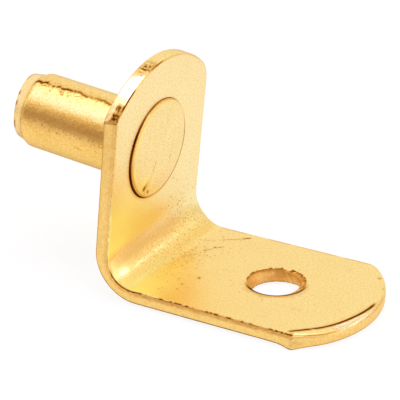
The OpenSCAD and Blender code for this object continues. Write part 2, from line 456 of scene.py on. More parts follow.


# A cut wall in rows on its way down: depth, how far the row stands out, dirt and painted shade, torn. A depth
# below 0 is taken up from the back. The first wall is along the slit sides, and the next two are across the
# shelf leg's end and the wall leg's tip, which has a painted highlight. The hole's wall has no second column.
# On the slit sides and the shelf leg's end, the dark top rows paint a dark reflection along the rim, and the
# dark back rows paint a shadow and dark reflection along the bottom edge.
slit_wall = [
    (0.100, 0.008, 0.85, 0.5), (0.125, 0.016, 0.35, 0.6), (0.17, 0.026, 0.08, 0.9),
    (0.23, 0.042, 0.10, 1.0), (0.31, 0.062, 0.14, 0.9), (0.38, 0.078, 0.16, 0.6),
    (0.43, 0.084, 0.0, 0.1), (0.60, 0.088, 0.0, 0.0), (0.85, 0.093, 0.0, 0.0),
    (-0.13, 0.094, 0.1, 0.1), (-0.10, 0.090, 0.9, 0.2), (-0.05, 0.078, 1.1, 0.3), (-0.01, 0.040, 1.1, 0.3),
]
crop_wall = [
    (0.150, 0.014, 0.35, 0.7), (0.175, 0.026, 0.45, 0.9), (0.21, 0.034, 0.22, 0.8),
    (0.26, 0.040, 0.05, 0.4), (0.34, 0.046, 0.01, 0.25), (0.43, 0.050, 0.02, 0.15),
    (0.52, 0.050, 0.01, 0.1), (0.62, 0.048, 0.02, 0.15), (0.80, 0.044, 0.06, 0.25),
    (-0.13, 0.040, 0.06, 0.2), (-0.09, 0.036, 0.5, 0.3), (-0.05, 0.024, 0.7, 0.3), (-0.01, 0.0, 0.7, 0.3),
]
crop_top_wall = [
    (0.130, 0.016, 0, 0.1), (0.160, 0.020, 0, 0), (0.22, 0.025, 0, 0), (0.30, 0.030, 0, 0),
    (0.40, 0.034, 0, 0), (0.50, 0.038, 0, 0), (0.60, 0.042, 0, 0), (0.75, 0.046, 0, 0), (0.95, 0.050, 0, 0),
    (-0.10, 0.052, 0, 0), (-0.06, 0.048, 0, 0), (-0.03, 0.034, 0.1, 0.1), (-0.01, 0.010, 0.2, 0.2),
]
# How strongly each row of the wall leg's tip is painted with a highlight
crop_top_highlight = (0.8, 1, 1, 1, 1, 1, 1, 1, 1, 1, 1, 0.6, 0.3)
hole_wall = [
    (0.06, 0.9, 1), (0.11, 0.7, 1), (0.18, 0.45, 1), (0.26, 0.36, 1), (0.36, 0.3, 1), (0.46, 0.26, 1),
    (0.56, 0.24, 1), (0.66, 0.2, 0.9), (0.76, 0.18, 0.8), (0.86, 0.18, 0.7),
    (-0.14, 0.2, 0.6), (-0.07, 0.45, 0.6), (-0.02, 0.8, 0.6),
]


def wall_depth(depth, row, top_drop, low):
    """A row's depth, kept below the rounding of the rim above it or taken up from the back."""
    return np.where(depth > 0, np.maximum(depth, top_drop + 0.01 * (row + 1)), low + depth)


def wall_grain(s, y, row):
    return wander(s + y * 3.1, 20 + row, 0.25) * 0.006 + wander(s * 2 + y * 5, 60 + row, 0.1) * 0.003


def cropped_tip_finish(dirt_and_shade, rubbed_highlight, y, up, way_down, crop_share, row):
    """The wall leg's tip: two brown patches, the first a stain and the second a painted dark reflection,
    painted shade under the ridge between the crop and the side, a painted white highlight, and a painted
    glint at its near corner.
    """
    first_patch = smooth(y, -5.75, -6.2)
    dark_reflection_patch = 1.25 * bell(y, -2.2, 0.7)
    hatch = smooth(0.55 + 0.5 * wander(y * 6, 90, 0.5) + 0.5 * wander(y * 6, 91 + row, 0.8), 0, 1)
    stained_and_shaded = first_patch * np.where(way_down < 0.62, 1.0, 0.25) * (0.35 + 0.65 * hatch)
    stained_and_shaded += dark_reflection_patch * np.where(way_down < 0.7, 1, 0.4) * hatch
    ridge = bell(up, crop_s + 0.17, 0.07) * (1 - crop_share) * np.where(way_down > 0.3, 0.5, 0.8) * (y < 0)
    white = smooth(y, -5.5, -5.25) * smooth(y, -2.8 - 0.8 * way_down, -3.0 - 0.8 * way_down)
    corner_glint = 0.2 * bell(up, crop_s - 0.02, 0.09) * (y < 0)
    return np.maximum.reduce([dirt_and_shade, stained_and_shaded * crop_share, ridge]), np.maximum(rubbed_highlight * white, corner_glint)


def side_rows(loop, top_drop, back_drop):
    """The strip's cut edge, in rows from the inner face to the back: points, places, finishes."""
    s, y = loop.T
    on_leg, on_wall = s > fold_to, s < fold_from
    out = outward(loop)
    pulled, hang = dragged(s, y)
    thick = strip_thickness(s)
    low = thick - back_drop + hang
    up = np.minimum(s, strip_l - s)
    crop_share = np.where(y < 0, 1 - smooth(up, crop_s - 0.1, crop_s + 0.1), 1 - smooth(up, 2.4, 3.8))
    in_fold = smooth(s, fold_from + 0.3, fold_from + 2.2) * (1 - crop_share)
    end_walls = zip(slit_wall, crop_wall, crop_top_wall, crop_top_highlight)
    for i, (slit, end, tip, tip_highlight) in enumerate(end_walls):
        crop = np.where(on_leg[:, None], np.array(end), np.array(tip))
        mixed = np.array(slit) * (1 - crop_share)[:, None] + crop * crop_share[:, None]
        depth = wall_depth(mixed[:, 0], i, top_drop, low)
        way_down = np.clip(depth / thick, 0, 1)

        broken = smooth(0.7 + wander(s * 1.0 + y * 2.3, 40 + i // 3, 0.3) * 0.8, 0.2, 1.2)
        dirt_and_shade = mixed[:, 2] * (0.45 + 0.55 * in_fold + 0.3 * crop_share).clip(0, 1)
        dirt_and_shade *= broken if slit[0] > 0 else np.maximum(broken, 0.8)
        torn = mixed[:, 3] * (0.3 + 0.7 * in_fold + 0.7 * crop_share).clip(0, 1)
        torn *= smooth(0.75 + 0.6 * wander(s + y * 2.3, 50 + i // 2, 0.16), 0, 1.1)
        tip_finish = cropped_tip_finish(dirt_and_shade, tip_highlight * crop_share, y, up, way_down, crop_share, i)
        dirt_and_shade = np.where(on_wall, tip_finish[0], dirt_and_shade)
        rubbed_highlight = np.where(on_wall, tip_finish[1], 0)

        grain = wall_grain(s, y, i) * (1 - 0.8 * crop_share * on_wall)
        at = loop + out * (mixed[:, 1] + grain)[:, None]
        corner_bulge = near_corner(s, y, 0.6) * way_down**2
        at += corner_bulge[:, None] * np.stack([np.where(on_leg, 0.15, 0.2), 0 * s - 0.1], -1)
        at[:, 0] -= pulled
        finish = np.stack([dirt_and_shade, torn, rubbed_highlight, np.zeros(len(s))], -1)
        yield folded(at[:, 0], at[:, 1], depth), np.stack([s, y, depth], -1), finish


def hole_rows(loop, top_drop, back_drop, pull):
    """The screw hole's torn wall, in rows from the inner face to the back: points, places, finishes."""
    s, y = loop.T
    low = strip_thickness(s) - back_drop
    angle = np.linspace(0, 2 * pi, len(loop), endpoint=False)
    torn = torn_rim(angle)
    for i, (down, dirt_and_shade, tear) in enumerate(hole_wall):
        depth = wall_depth(np.full(len(loop), down), i, top_drop, low)
        hs, hy, hr = np.array([hole_at(d) for d in depth]).T
        hr = hr + pull * np.exp(-depth / 0.15) - wall_grain(s, y, i) * 2
        at = np.stack([hs + hr * np.cos(angle), hy + hr * np.sin(angle)], -1)
        streaks = 0.8 + 0.75 * wander(angle * 2.3, 70, 0.14) + 0.4 * wander(angle * 2.3, 71 + i // 2, 0.2)
        dirty = dirt_and_shade * (0.35 + 0.65 * torn) * smooth(streaks, 0, 1.2)
        plain = np.zeros(len(loop))
        finish = np.stack([dirty, tear * (0.3 + 0.7 * torn), plain, plain], -1)
        yield folded(at[:, 0], at[:, 1], depth), np.stack([s, y, depth], -1), finish


def seat_row(r, depth, count):
    """A ring of points in the peg's seat, all of them darkened with stains and painted shade."""
    s, y = circle(rise, -strip_y, r, count).T
    finish = np.tile((1.0, 1.0, 0.0, 0.0), (count, 1))
    return folded(s, y, depth), np.stack([s, y, np.full(count, depth)], -1), finish


def ring_faces(rows):
    """Faces between rings of equally many points, one below the other."""
    faces = []
    for above, below in zip(rows, rows[1:]):
        for i in range(len(above)):
            following = (i + 1) % len(above)
            faces.append((above[i], above[following], below[following], below[i]))
    return faces


def step_faces(outer, inner):
    """Triangles between two rings that have different counts of points."""
    faces, i, j = [], 0, 0
    n_outer, n_inner = len(outer), len(inner)
    while i < n_outer or j < n_inner:
        if j >= n_inner or (i < n_outer and (i + 1) / n_outer <= (j + 1) / n_inner):
            faces.append((outer[i % n_outer], outer[(i + 1) % n_outer], inner[j % n_inner]))
            i += 1
        else:
            faces.append((outer[i % n_outer], inner[(j + 1) % n_inner], inner[j % n_inner]))
            j += 1
    return faces


def inner_face(s, y, holes):
    """The inner face: its points, places and finishes, how deep it lies, and how ragged the hole is."""
    dist = edge_distance(s, y, holes)
    from_crop, from_hole, from_seat = dist[1], dist[3], dist[4]
    hole_angle = np.arctan2(y - holes[0][1], s - holes[0][0])
    torn = torn_rim(hole_angle)
    crop_edge_r = np.where(s > fold_to, 0.19, 0.13)
    side_r, corner_r, seat_edge_r = (np.full(len(s), r) for r in (0.11, 0.15, 0.07))
    edge_drop = round_over(dist, [side_r, crop_edge_r, corner_r, 0.26 - 0.19 * torn, seat_edge_r])

    # the marks, the rolled end, and the screw hole's ragged rim with a lip round it
    mark_deep, mark_dirt = marks(s, y)
    roll_deep, scored_shade, rolled = crop_roll(s, y, from_crop)
    ragged = 0.035 * wander(hole_angle * 2.4, 31, 0.3) + 0.045 * wander(hole_angle * 2.4, 32, 0.11)
    pull = ragged * torn * np.exp(-from_hole / 0.09) * (from_hole < 1)
    lip = -0.03 * np.abs(ragged) / 0.08 * torn * bell(from_hole, 0.1, 0.08)
    pulled, _ = dragged(s, y)
    at_s, at_y = s + pull * np.cos(hole_angle) - pulled, y + pull * np.sin(hole_angle)
    points = folded(at_s, at_y, edge_drop + roll_deep + 0.012 * scored_shade + mark_deep + lip)

    ring_angle = np.degrees(np.arctan2(rise - s, -y - strip_y)) % 360
    ring_stain_and_shade = np.interp(ring_angle, ring_angles, ring_dirt_and_shade)
    dirt_and_shade = np.maximum.reduce([mark_dirt, scored_shade, edge_stains_and_shade(s, y, dist, hole_angle, ring_stain_and_shade)])
    torn_seat = 0.75 * bell(from_seat, 0, 0.26) * ring_stain_and_shade
    torn_seat += 0.5 * bell(from_seat, 0.1, 0.12) * ring_stain_and_shade**2
    torn_face = np.maximum(0.5 * bell(from_hole, 0, 0.12) * torn, torn_seat)
    rubbed_highlight = highlights_and_rubbing(s, y, from_hole, hole_angle, rolled)
    finish = np.stack([dirt_and_shade, torn_face, rubbed_highlight, rippled(s, y)], -1)
    return (points, np.stack([s, y, edge_drop], -1), finish), edge_drop + roll_deep, ragged * torn


def back_face(s, y, holes):
    """The plain back: its points, places and finishes, and how far it is rounded at its edges."""
    edge_drop = round_over(edge_distance(s, y, holes), (0.03, 0.04, 0.04, 0.04, 0.04))
    thick = strip_thickness(s)
    pulled, hang = dragged(s, y)
    points = folded(s - pulled, y, thick - edge_drop + hang)
    return (points, np.stack([s - pulled, y, thick], -1), np.zeros((len(s), 4))), edge_drop


def build_bracket():
    holes = [hole_at(0.0), (rise, -strip_y, seat_r)]
    back_holes = [hole_at(leg_t), (rise, -strip_y, grip_r)]
    insets = (0.02, 0.045, 0.075, 0.11, 0.16, 0.23, 0.34)
    front, front_faces, front_rims = sheet_net(holes, insets, pitch=0.42, extra=mark_points())
    back, back_faces, back_rims = sheet_net(back_holes, (0.03, 0.1, 0.3), pitch=0.7)
    parts = []

    def add(points, place, finish):
        first = sum(len(part[0]) for part in parts)
        parts.append((points, place, finish))
        return list(range(first, first + len(points)))

    front_part, top_drop, rim_pull = inner_face(*front.T, holes)
    front_ids = add(*front_part)
    back_part, back_drop = back_face(*back.T, back_holes)
    back_ids = add(*back_part)
    faces = [tuple(f) for f in front_faces]
    faces += [tuple(back_ids[i] for i in f[::-1]) for f in back_faces]

    # the cut edge and the screw hole's wall join the two faces
    side, hole, seat = front_rims
    back_side, back_hole, back_bore = ([back_ids[i] for i in rim] for rim in back_rims)
    rim_back_drop = [back_drop[rim] for rim in back_rims]
    cut_rows = side_rows(front[side], top_drop[side], rim_back_drop[0])
    faces += ring_faces([side, *(add(*row) for row in cut_rows), back_side])
    torn_rows = hole_rows(front[hole], top_drop[hole], rim_back_drop[1], rim_pull[hole])
    faces += ring_faces([hole, *(add(*row) for row in torn_rows), back_hole])

    # the peg's seat: a wall down from the inner face, a step, and the grip's bore
    seat_rings = ((seat_r, 0.3), (seat_r, seat_depth), (grip_r + 0.35, seat_depth))
    seat_rows = [seat, *(add(*seat_row(r, depth, len(seat))) for r, depth in seat_rings)]
    bore_rows = [add(*seat_row(grip_r, depth, len(back_bore))) for depth in (seat_depth, 0.9)]
    faces += ring_faces(seat_rows) + ring_faces([*bore_rows, back_bore])
    faces += step_faces(seat_rows[-1], bore_rows[0])

    points, place, finish = (np.vstack(v) for v in zip(*parts))
    pale = yellow_beside_fold(*place.T)
    # the fold's painted highlight streak is also painted paler
    pale[front_ids] = np.maximum(pale[front_ids], 0.8 * fold_highlight_streak(*front.T))
    return metal_mesh("folded_bracket", points, faces, place, np.column_stack([finish, pale]))


# What a mesh says of its metal at each point, from 0 to 1
# The first finish holds dirt and stains and also painted shade and painted dark reflections, the third holds
# rubbing and painted highlights, and the fifth makes the plate paler, in places as a painted highlight or
# glow
finishes = ("dirt_and_shade", "torn", "rubbed_highlight", "ripple", "pale")


def metal_mesh(name, points, faces, place, finish):
    """A smooth mesh that knows each point's place on the metal and its finishes."""
    mesh = bpy.data.meshes.new(name)
    mesh.from_pydata((points * MM).tolist(), [], faces)
    layer = mesh.attributes.new("place", "FLOAT_VECTOR", "POINT")
    layer.data.foreach_set("vector", place.ravel().astype("f"))
    for i, kind in enumerate(finishes):
        layer = mesh.attributes.new(kind, "FLOAT", "POINT")
        layer.data.foreach_set("value", np.clip(finish[:, i], 0, 1).astype("f"))
    mesh.polygons.foreach_set("use_smooth", [True] * len(mesh.polygons))
    mesh.update()
    return mesh


def new_object(name, data):
    made = bpy.data.objects.new(name, data)
    bpy.context.collection.objects.link(made)
    return made


def new_material(name):
    made = bpy.data.materials.new(name)
    made.use_nodes = True
    return made, made.node_tree


def put(tree, node, sockets):
    """Puts a number, a colour or another node's output on each socket that is named."""
    for name, value in sockets.items():
        socket = node.inputs[name]
        if isinstance(value, bpy.types.NodeSocket):
            tree.links.new(value, socket)
        else:
            socket.default_value = (*value, 1) if socket.type == "RGBA" else value


def add_node(tree, kind, sockets=None, **settings):
    node = tree.nodes.new(kind)
    for name, value in settings.items():
        setattr(node, name, value)
    put(tree, node, sockets or {})
    return node


def maths(tree, operation, *values):
    return add_node(tree, "ShaderNodeMath", dict(enumerate(values)), operation=operation).outputs[0]


def between(tree, value, low, high, most=1.0, step="LINEAR"):
    """Turns a range of a value into 0 to 1, or up to another number."""
    sockets = {"Value": value, "From Min": low, "From Max": high, "To Max": most}
    return add_node(tree, "ShaderNodeMapRange", sockets, interpolation_type=step).outputs[0]


def blend(tree, factor, a, b):
    """The colour a where the factor is 0, and b where it is 1."""
    sockets = {"Factor": factor, "A": a, "B": b}
    return add_node(tree, "ShaderNodeMix", sockets, data_type="RGBA").outputs["Result"]


amber = (0.58, 0.29, 0.045)  # half darkened plate: stains, and half painted shade
darkest_stain_and_shade = (0.085, 0.013, 0.0015)  # the darkest plate: heavy stains, and full painted shade
raw = (0.85, 0.42, 0.10)  # plate over torn metal
highlight_white = (0.95, 0.88, 0.74)  # plate whitened as a painted highlight, where it is also rubbed smoother


def brass_plate(name, gold, lemon, roughness, grain, grain_pitch, mottle):
    """Bright brass plate: fine grain and specks, dirt in its marks and painted shade, redder where torn,
    whiter where a highlight is painted.

    It is gold, and lemon where its pale finish is set, which in places paints a highlight or a glow. Grain is
    the height of its fine relief in millimetres, grain_pitch how many grains go to a millimetre, and mottle
    how much its tones differ.
    """
    made, tree = new_material(name)
    shader = tree.nodes["Principled BSDF"]
    put(tree, shader, {"Specular IOR Level": 0.0, "Specular Tint": (1.0, 0.92, 0.8)})
    place = add_node(tree, "ShaderNodeAttribute", attribute_name="place").outputs["Vector"]
    dirt_and_shade, torn, rubbed_highlight, ripple, pale = (
        add_node(tree, "ShaderNodeAttribute", attribute_name=finish).outputs["Fac"] for finish in finishes
    )

    def noise(scale, detail, rough):
        sockets = {"Scale": scale, "Detail": detail, "Roughness": rough, "Vector": place}
        return add_node(tree, "ShaderNodeTexNoise", sockets).outputs["Fac"]

    def shade(by):
        return tuple(min(1.0, c * (1 + (v - 1) * mottle)) for c, v in zip(gold, by))

    # dull and clear grains, then the yellower, torn and rubbed plate with its painted highlights, then the
    # stains and painted shade
    patch, fine = noise(0.5, 3, 0.5), noise(grain_pitch, 3, 0.7)
    coarse, grit = noise(1.5, 2, 0.6), noise(4.2, 2, 0.6)
    dull = blend(tree, patch, shade((0.93, 0.86, 0.72)), shade((0.96, 0.94, 0.90)))
    clear = blend(tree, patch, shade((1.01, 1.04, 1.06)), shade((1.04, 1.11, 1.30)))
    tone = blend(tree, between(tree, fine, 0.40, 0.60), dull, clear)
    tone = blend(tree, pale, tone, lemon)
    tone = blend(tree, maths(tree, "MULTIPLY", torn, 0.75), tone, raw)
    # painted highlights: whiter plate where it is also rubbed smoother
    tone = blend(tree, rubbed_highlight, tone, highlight_white)
    specks = between(tree, maths(tree, "MULTIPLY_ADD", ripple, 0.17, grit), 0.71, 0.80, 0.45)
    dirt_shade_and_specks = maths(tree, "MAXIMUM", dirt_and_shade, specks)
    half_stained_and_shaded = blend(tree, between(tree, dirt_shade_and_specks, 0.0, 0.5), tone, amber)
    stained_and_shaded = blend(tree, between(tree, dirt_shade_and_specks, 0.45, 1.0), half_stained_and_shaded, darkest_stain_and_shade)
    bare = maths(tree, "SUBTRACT", 1.0, dirt_shade_and_specks)

    # rougher where it is grained, stained, painted dark or torn, smoother where it is rubbed
    rough = maths(tree, "MULTIPLY_ADD", fine, 0.04, roughness - 0.02)
    rough = maths(tree, "MULTIPLY_ADD", dirt_shade_and_specks, 0.2, rough)
    rough = maths(tree, "MULTIPLY_ADD", torn, 0.12, rough)
    rough = maths(tree, "MULTIPLY_ADD", rubbed_highlight, -0.2, rough)
    rough = maths(tree, "MAXIMUM", rough, 0.05)

    # a fine grain, deeper where it is torn, and a coarse unevenness where the tumbling left it
    relief = add_node(tree, "ShaderNodeBump", {"Distance": MM})
    height = maths(tree, "MULTIPLY", fine, grain)
    height = maths(tree, "MULTIPLY_ADD", maths(tree, "MULTIPLY", fine, torn), 0.03, height)
    height = maths(tree, "MULTIPLY_ADD", maths(tree, "MULTIPLY", coarse, ripple), 0.08, height)
    put(tree, relief, {"Height": height})
    normal = relief.outputs["Normal"]
    put(tree, shader, {"Base Color": stained_and_shaded, "Metallic": bare, "Roughness": rough, "Normal": normal})
    return made


strip_brass = brass_plate(
    "plated_strip_brass", gold=(0.925, 0.71, 0.30), lemon=(0.98, 1.0, 0.52),
    roughness=0.31, grain=0.018, grain_pitch=5.5, mottle=1.0,
)
bracket = new_object("folded_bracket", build_bracket())
bracket.data.materials.append(strip_brass)
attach(bracket, "root")
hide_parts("bracket")

# ---------------------------------------------------------------------------------------------
# The peg
# The real one is a solid pin, headed cold: a thin disc at one end, a coned nose at the other. It
# is pressed through the wall leg until its disc sits in the seat, a little proud of the face.

peg_r = 3.175
peg_l = 11.5
# The nose: where it starts, its radius at the root, at the tip and on its flat end, and how
# aslant it was sheared off
nose_from = -10.1
nose_root_r = 2.99
nose_tip_r = 2.74
nose_end_r = 2.45
nose_slant = 0.15
# The swelling that fills the bore, and the disc
grip_swell = 0.2
head_r = 4.13
head_front = 1.4
head_back = 0.45

# Scratches on the disc: y and z of both ends, width, depth, dirt
disc_scratches = [
    (-0.36, -1.07, -0.97, -2.28, 0.06, 0.012, 0.5), (-1.4, -2.55, -1.95, -2.95, 0.20, 0.03, 1),
    (-1.3, -3.45, -1.5, -3.1, 0.13, 0.02, 1), (-1.8, -3.5, -1.75, -3.2, 0.12, 0.02, 1),
    (1.9, -1.4, 1.95, -1.3, 0.08, 0.015, 0.6), (-1.0, -2.4, -1.2, -3.0, 0.06, 0.01, 0.3),
    (0.2, 3.2, 0.0, 0.4, 0.1, 0.003, 0.10), (0.9, 2.6, 0.5, -1.6, 0.09, 0.003, 0.10),
    (-1.6, 1.5, -2.2, -0.8, 0.08, 0.003, 0.12), (2.4, 1.0, 1.9, -2.4, 0.09, 0.003, 0.10),
    (1.4, 3.4, 1.1, 0.9, 0.08, 0.003, 0.08),
]
# Knocks on the pin: x, angle up from the near side, radius, depth, dirt
pin_knocks = [
    (-4.4, -12, 0.07, 0.008, 0.7), (-4.15, -13, 0.06, 0.006, 0.6), (-4.7, -11, 0.06, 0.006, 0.4),
    (-8.6, -6, 0.06, 0.006, 0.3), (-2.1, 3, 0.07, 0.008, 0.5), (-9.9, 24, 0.1, 0.01, 0.5),
    (-6.1, 38, 0.05, 0.006, 0.3), (-3.0, 33, 0.05, 0.006, 0.3), (-7.6, -38, 0.07, 0.006, 0.3),
]
# How far the seat's gap is filled by the disc, by angle up from the near side
gap_angles = [0, 45, 60, 75, 90, 110, 135, 250, 270, 285, 300, 315, 360]
gap_fill = [0, 0.1, 0.55, 0.5, 0.8, 0.9, 1, 1, 0.85, 0.7, 0.45, 0.1, 0]


def peg_profile():
    """Radius and place along the peg, from the middle of its nose to the middle of its disc."""
    end = -peg_l - 0.03
    shoulder_r = nose_root_r + 0.02
    swell_r = peg_r + grip_swell
    quarter = np.linspace(0, pi / 2, 8)[1:]

    def rounded(r, wider, x, longer):
        return list(zip(r + wider * np.sin(quarter), x + longer * (1 - np.cos(quarter))))

    rows = [(r, end) for r in (0.4, 1.2, 1.9, nose_end_r)]
    rows += rounded(nose_end_r, nose_tip_r - nose_end_r, end, 0.17)
    cone = np.linspace((nose_tip_r, -peg_l + 0.14), (nose_root_r, nose_from - 0.06), 8)[1:]
    rows += [tuple(row) for row in cone]
    rows += rounded(shoulder_r, peg_r - nose_root_r - 0.02, nose_from, 0.3)
    rows += [(peg_r, x) for x in np.linspace(nose_from + 0.45, -0.05, 120)]
    rows += [(peg_r + 0.02, 0.0), (swell_r, 0.03), (swell_r, head_back)]
    rows += [(head_r - 0.02, head_back), (head_r, head_back + 0.03)]
    rows += [(head_r, x) for x in (0.8, 1.1, 1.2)]
    rim = (head_r - 0.14 * (1 - np.cos(quarter)), head_front - 0.17 + 0.14 * np.sin(quarter))
    rows += list(zip(*rim))
    rows += [(r, head_front - 0.03 * bell(r, 4.0, 0.5)) for r in np.arange(3.92, 0.25, -0.1)]
    return np.array(rows)


def turned_shape(profile, around):
    """The profile turned round the peg's axis, with the nose aslant: points, places on it, faces."""
    turn = np.linspace(0, 2 * pi, around, endpoint=False)
    points, rows, place = [], [], []
    for r, x in profile:
        rows.append(list(range(len(rows) * around, (len(rows) + 1) * around)))
        y, z = -r * np.cos(turn), r * np.sin(turn)
        slant = nose_slant * y * smooth(-x, -nose_from, peg_l - 0.2)
        points.append(np.stack([x - slant, y, z], -1))
        place.append(np.stack([x + 0 * turn, -y, z], -1))
    faces = [(first, *rest[::-1]) for first, *rest in ring_faces(rows)]
    faces += [tuple(rows[0]), tuple(rows[-1][::-1])]
    return np.vstack(points), np.vstack(place), faces


def disc_marks(y, z):
    """Depth and dirt of the scratches on the disc's face."""
    deep_sum, dirt_max = np.zeros(len(y)), np.zeros(len(y))
    for *ends, wide, deep, dirt_and_shade in disc_scratches:
        along, length, off = beside_line(y, z, *ends)
        broken = 0.55 + 0.45 * wander(np.clip(along, 0, 1) * length, int(abs(ends[0]) * 100), 0.3)
        mark = np.exp(-((off / wide) ** 2)) * broken
        deep_sum += deep * mark
        dirt_max = np.maximum(dirt_max, dirt_and_shade * mark)
    return deep_sum, dirt_max


def pin_marks(x, radius, round_angle):
    """Depth and dirt of the knocks on the pin."""
    deep_sum, dirt_max = np.zeros(len(x)), np.zeros(len(x))
    for knock_x, angle, wide, deep, dirt_and_shade in pin_knocks:
        off = np.hypot(x - knock_x, radians(1) * (round_angle - angle) * peg_r) / wide
        mark = np.exp(-(off**2)) * (radius > 2.6) * (x < -0.05)
        deep_sum += deep * mark
        dirt_max = np.maximum(dirt_max, dirt_and_shade * mark)
    return deep_sum, dirt_max


def pin_finish(x, round_angle):
    """A painted dark reflection: an uneven dark line along the top of the pin with flakes beside it, and a
    painted darker stretch on its near side.
    """
    dark_line_angle = 73 + 2.5 * wander(x, 3, 0.5) + 1.5 * wander(x, 4, 0.17) - 1.2 * smooth(x, -4, 0)
    dirt_and_shade = 1.3 * bell(round_angle, dark_line_angle, 2.9) * (0.6 + 0.4 * smooth(x, -5, -9))
    dirt_and_shade *= smooth(0.8 + 0.4 * wander(x, 12, 0.4) + 0.3 * wander(x, 15, 0.13), 0, 1)
    flakes = 0.7 * bell(round_angle, dark_line_angle - 8 - 5 * wander(x, 13, 0.3), 1.3)
    dirt_and_shade += flakes * smooth(0.15 + wander(x, 14, 0.3), 0, 0.8) * smooth(x, -5.6, -6.6)
    dirt_and_shade = np.maximum(np.clip(dirt_and_shade, 0, 1), 0.34 * bell(round_angle, 18, 9))
    ripple = bell(round_angle, 72, 13) * (0.35 + 0.65 * smooth(x, -2.5, -6.5))
    return dirt_and_shade, np.maximum(ripple, 0.8 * bell(round_angle, 12, 26))


def build_peg():
    points, place, faces = turned_shape(peg_profile(), around=288)
    x, y, z = points.T
    radius = np.hypot(y, z)
    round_angle = np.degrees(np.arctan2(z, -y))
    full_turn = round_angle % 360
    is_head = x > head_back - 0.01
    on_face = is_head * (x > head_front - 0.1)
    on_pin = (x < -0.05) * (x > nose_from - 0.1)

    # the disc sits against the far side of its seat, so the gap opens at the near side
    rim_share = smooth(radius, head_r - 1.2, head_r - 0.1) * is_head
    points[:, 1:] *= (1 + 0.075 / head_r * np.interp(full_turn, gap_angles, gap_fill) * rim_share)[:, None]
    points[is_head, 1] += 0.03
    # stains and painted shade in the gap round the disc, on the disc's side
    ring_stain_and_shade = np.interp(full_turn, ring_angles, ring_dirt_and_shade)
    rim_dirt_and_shade = ring_stain_and_shade * is_head * (radius > head_r - 0.2)
    rim_dirt_and_shade *= smooth(x, head_front - 0.05, head_front - 0.13)
    # a painted dark reflection along the disc's far edge
    far_edge = np.interp(full_turn, [150, 180, 215, 250, 290], [0, 0.9, 0.85, 0.7, 0.3])
    far_edge_shade = far_edge * on_face * bell(radius, head_r - 0.12, 0.08)
    torn_rim_share = 0.8 * ring_stain_and_shade * is_head * smooth(radius, head_r - 0.45, head_r - 0.1)
    torn = np.maximum(torn_rim_share, 0.22 * on_face * smooth(z, -1.6, -3.4))
    # a painted glow on the disc's face just inside its rim, where the ring is dark, and a paler patch low on
    # the face
    glow = 0.75 * ring_stain_and_shade * bell(radius, head_r - 0.38, 0.18)
    glow *= smooth(0.75 + wander(round_angle, 61, 14), 0, 1.2)
    pale = np.maximum(bell(np.hypot(y + 1.9, z + 3.0), 0, 0.9), glow) * on_face
    deep, scratch_dirt = disc_marks(y, z)
    in_disc = (x > head_front - 0.05) & (radius < head_r - 0.05)
    points[:, 0] -= deep * in_disc

    knocks, knock_dirt = pin_marks(x, radius, round_angle)
    points[:, 1:] *= (1 - knocks / np.maximum(radius, 1))[:, None]
    pin_shade_and_flakes, ripple = (on_pin * finish for finish in pin_finish(x, round_angle))

    # the nose is rubbed, and stained at its sheared rim and at its root
    rubbed = 0.35 * smooth(x, nose_from, nose_from - 0.5)
    from_end = x + nose_slant * y + peg_l
    tip_dirt = 0.8 * bell(from_end, 0.08, 0.09) * (radius > 2.3)
    tip_dirt *= smooth(0.3 + wander(round_angle, 51, 9), 0, 1)
    root_dirt = 0.5 * bell(x, nose_from, 0.1) * smooth(wander(round_angle, 52, 7), 0, 1) * (radius > 2.8)
    dirt_and_shade = np.maximum.reduce([
        rim_dirt_and_shade, far_edge_shade, scratch_dirt * in_disc, knock_dirt, pin_shade_and_flakes, tip_dirt, root_dirt,
    ])
    return metal_mesh("headed_peg", points, faces, place, np.stack([dirt_and_shade, torn, rubbed, ripple, pale], -1))


peg_brass = brass_plate(
    "plated_peg_brass", gold=(0.925, 0.68, 0.255), lemon=(0.99, 0.78, 0.15),
    roughness=0.29, grain=0.02, grain_pitch=6.5, mottle=1.5,
)
peg = new_object("headed_peg", build_peg())
peg.data.materials.append(peg_brass)
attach(peg, "root")
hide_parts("peg")

# ---------------------------------------------------------------------------------------------
# Floor
# A sheet of white paper that the bracket lies on. It slopes with the shelf leg under it and is
# level further out. A thin gel lies on it, which only the metal shows. It glows in painted colours,
# brown towards the front, that the metal mirrors as painted reflections, with a painted shadow behind and
# under the pin.

floor_half = 600
gel_lift = 0.02
paper_glow, gel_glow = 0.86, 0.75
# The gel's painted glow colours by place across it, from 75 mm in front of the bracket to 75 mm behind it
gel_half = 75
gel_tones = [
    (0.0, (0.5, 0.3, 0.14)), (0.21, (0.87, 0.65, 0.36)), (0.432, (1.01, 0.83, 0.49)),
    (0.556, (0.98, 0.90, 0.72)), (0.595, (1.02, 1.10, 1.36)), (0.78, (1.02, 1.10, 1.36)),
    (0.95, (0.72, 0.5, 0.25)),
]
# the colour of the gel's painted shadow behind and under the pin
gel_painted_shadow = (0.55, 0.42, 0.24)

# The sheet leans as the shelf leg does, from 16 mm behind the wall face to 26 mm in front of it. It
# lies as far below the leg's underside as the leg's near corner hangs.
lean = fold_angle - pi / 2
under = folded(fold_to, 0, leg_t)
sheet_x = np.concatenate([[-floor_half], np.arange(-60, 61, 2.0), [floor_half]])
slope = tan(lean) * smooth(sheet_x, -34, -16) * smooth(sheet_x, 44, 26)
sheet_z = np.concatenate([[0], np.cumsum((slope[1:] + slope[:-1]) / 2 * np.diff(sheet_x))])
sheet_z += under[2] - corner_hang - np.interp(under[0], sheet_x, sheet_z)


